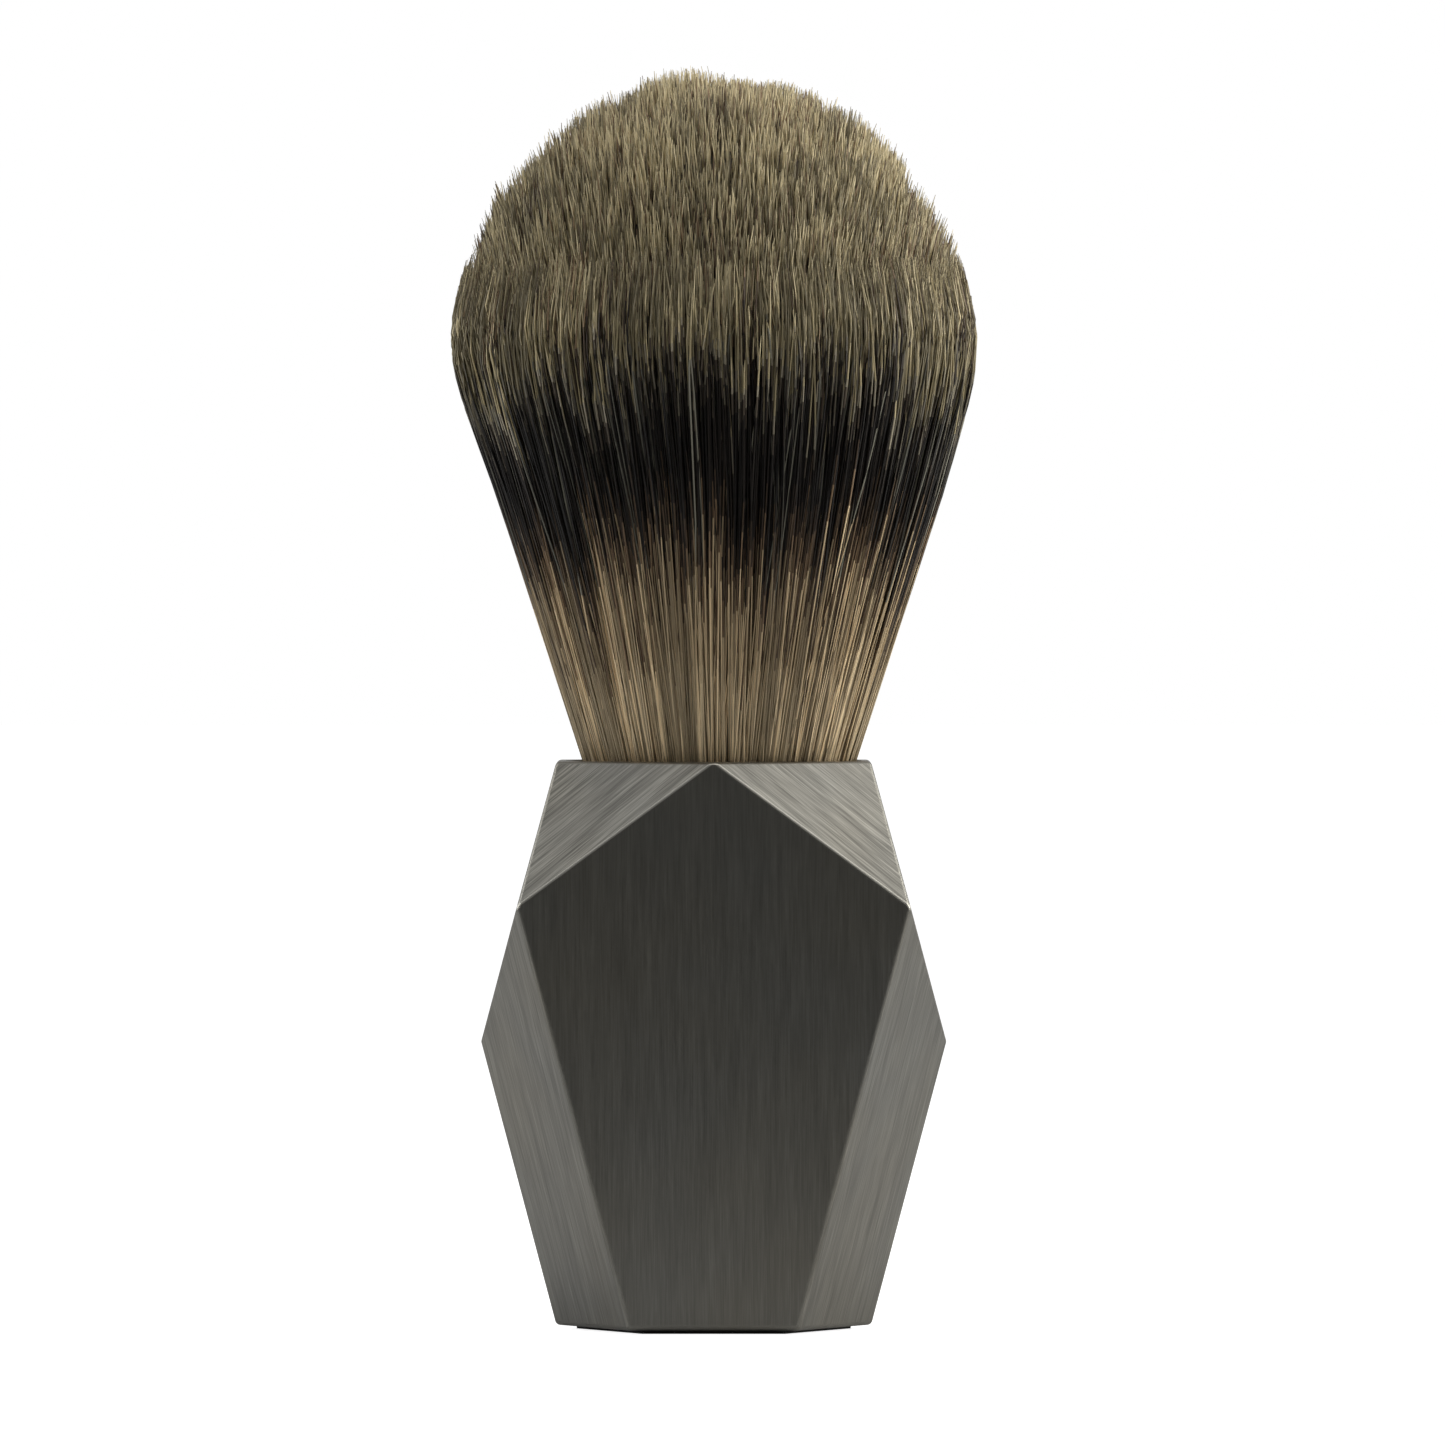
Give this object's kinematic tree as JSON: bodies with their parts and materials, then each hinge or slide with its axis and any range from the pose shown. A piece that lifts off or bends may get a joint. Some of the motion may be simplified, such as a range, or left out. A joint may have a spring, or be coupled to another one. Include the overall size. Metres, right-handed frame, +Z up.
{
  "type": "shaving brush",
  "caption": "Shaving brush with a faceted brushed steel handle that stands on its base and a bulb of three-banded hair that bends and springs back.",
  "frame": {"origin": "centre of the foot pad's underside, where the brush stands", "axes": "+Z up through the handle to the hair tips, X across the width, Y through the depth with the large facets facing -Y and +Y"},
  "size_m": [0.0458, 0.0458, 0.1105],
  "materials": {
    "handle_steel": "brushed, a different direction on each facet",
    "plate_steel": "ground",
    "screw_steel": "plain turned",
    "foot_rubber": "matt black",
    "adhesive": "set adhesive",
    "cup_aluminium": "satin",
    "potting_resin": "set resin",
    "yarn": "twisted yarn",
    "hair": "animal hair, cream at the tips, black across the middle and tan at the roots"
  },
  "bodies": {
    "handle": {"handle_body": "handle_steel", "base_plate": "plate_steel", "base_screw": "screw_steel", "base_pad": "foot_rubber", "knot_bed": "adhesive", "knot_cup": "cup_aluminium", "root_plug": "potting_resin", "binding_yarn": "yarn", "hair_root": "hair"},
    "tuft": {"hair_tuft": "hair"}
  },
  "joints": [
    {"name": "tuft_bend", "type": "hinge", "parent": "handle", "child": "tuft", "pos_m": [0, 0, 0.054], "axis": [0, 1, 0], "range_deg": [-17, 17], "stiffness_Nm_per_rad": 0.4}
  ]
}
